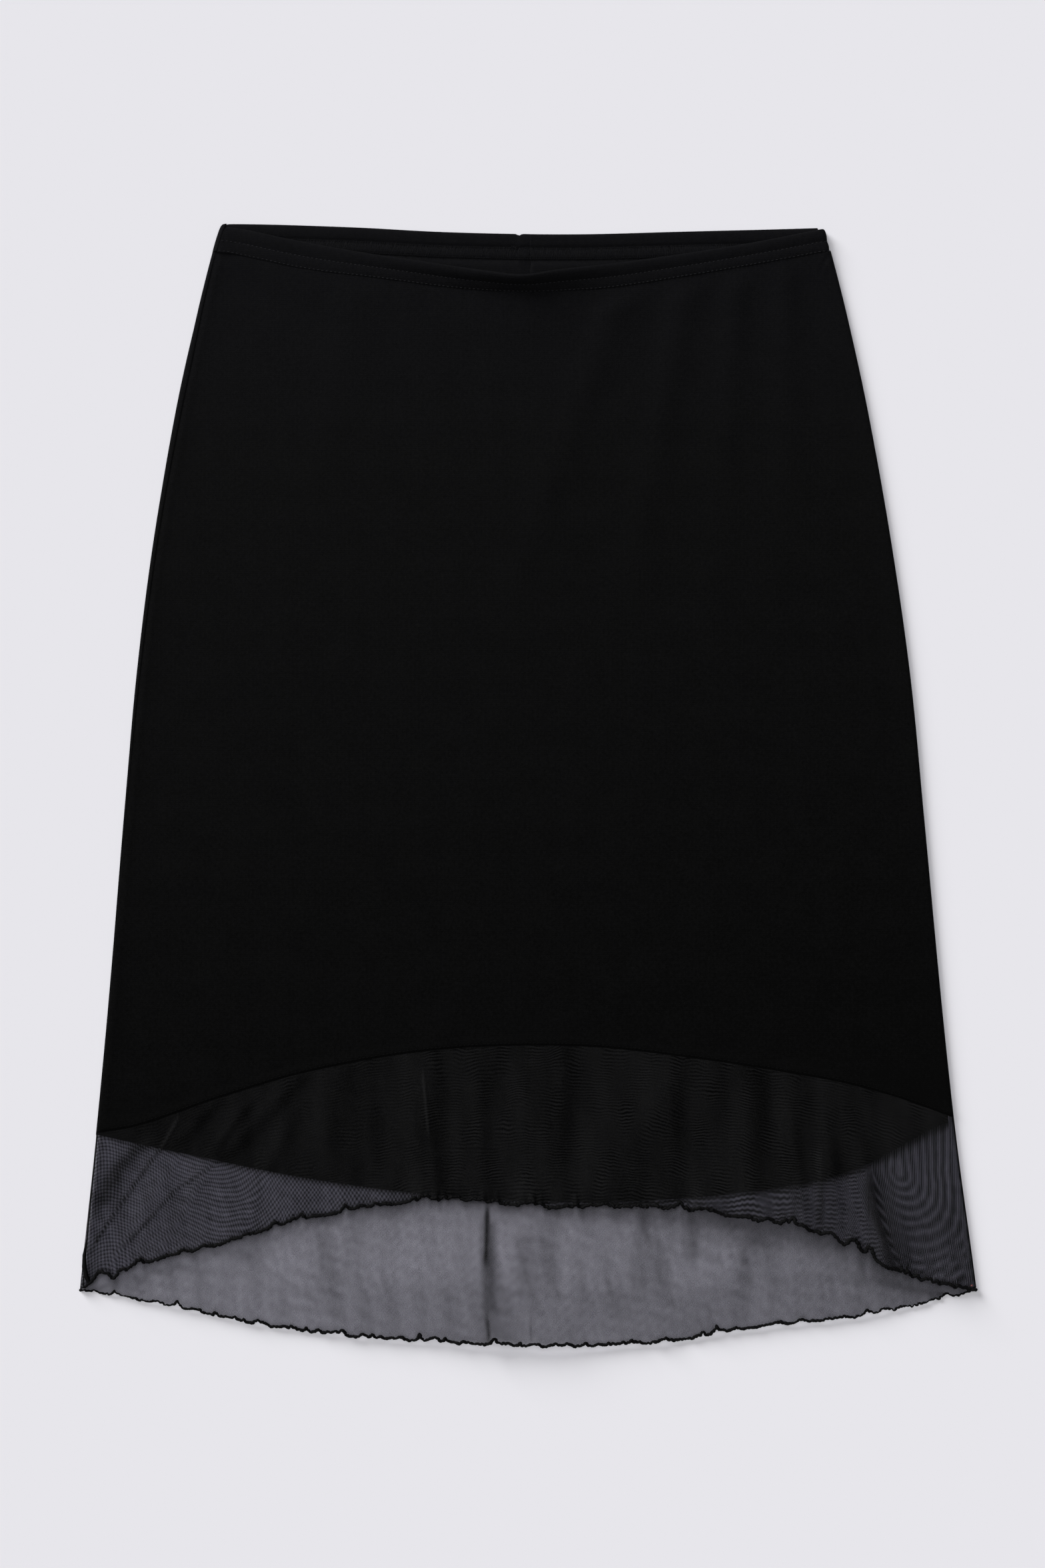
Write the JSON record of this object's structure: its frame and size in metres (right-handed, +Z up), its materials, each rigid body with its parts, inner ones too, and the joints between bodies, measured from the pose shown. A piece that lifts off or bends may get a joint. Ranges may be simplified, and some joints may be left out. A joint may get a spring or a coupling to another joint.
{
  "type": "slip skirt, laid flat",
  "caption": "Knee-length jersey slip skirt laid flat: elastic casing waist, flared sides, and a curved sheer mesh band with a wavy overlocked hem.",
  "frame": {"origin": "middle of the footprint, on the surface that the skirt lies on", "axes": "+X to the right as seen from above, +Y from the hem to the waist, +Z up, away from the surface; the front lies on top"},
  "size_m": [0.4838, 0.6054, 0.0122],
  "materials": {
    "jersey": "matte black fine jersey knit",
    "mesh": "sheer black stretch mesh with fine holes",
    "edge_thread": "dense black overlock thread"
  },
  "bodies": {
    "root": {"front_panel": "jersey", "back_panel_left": "jersey", "back_panel_right": "jersey", "waist_casing_front": "jersey", "waist_casing_back_left": "jersey", "waist_casing_back_right": "jersey", "mesh_band_front": "mesh", "mesh_band_back": "mesh", "hem_edge_front": "edge_thread", "hem_edge_back": "edge_thread"}
  },
  "joints": []
}
